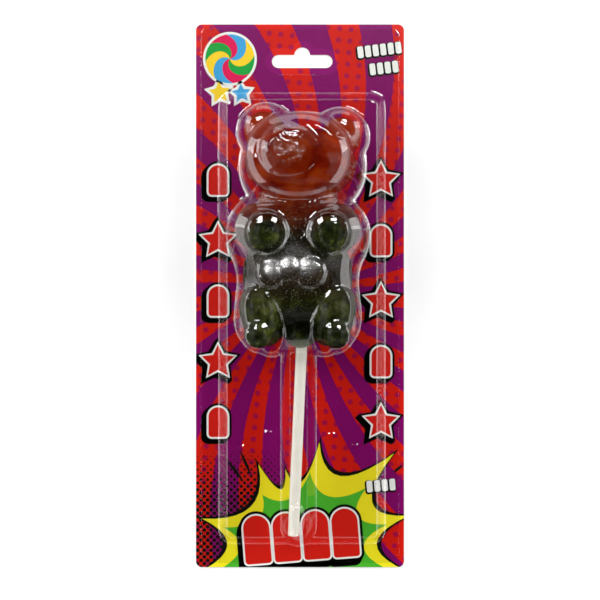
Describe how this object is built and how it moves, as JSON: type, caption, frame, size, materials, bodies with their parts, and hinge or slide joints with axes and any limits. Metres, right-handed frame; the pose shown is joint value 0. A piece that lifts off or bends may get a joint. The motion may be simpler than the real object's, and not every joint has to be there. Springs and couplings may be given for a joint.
{
  "type": "giant two-tone gummy bear on a stick in a hanging blister pack",
  "caption": "Giant two-tone gummy bear on a stick, sealed in a clear blister on a printed hanging card, lying on its back.",
  "frame": {"origin": "middle of the card's back face, the bottom centre of the pack as it lies on its back", "axes": "+X to the right of the printed face, +Y up the card towards the hanging slot, +Z out of the printed face"},
  "size_m": [0.105, 0.274, 0.046],
  "materials": {
    "card": "printed card, satin",
    "clear_film": "clear thermoformed film, glossy",
    "gummy": "glossy translucent jelly, brownish red above, dark green below",
    "stick": "off-white, satin"
  },
  "bodies": {
    "root": {"card": "card", "blister": "clear_film", "gummy_bear": "gummy", "stick": "stick"}
  },
  "joints": []
}
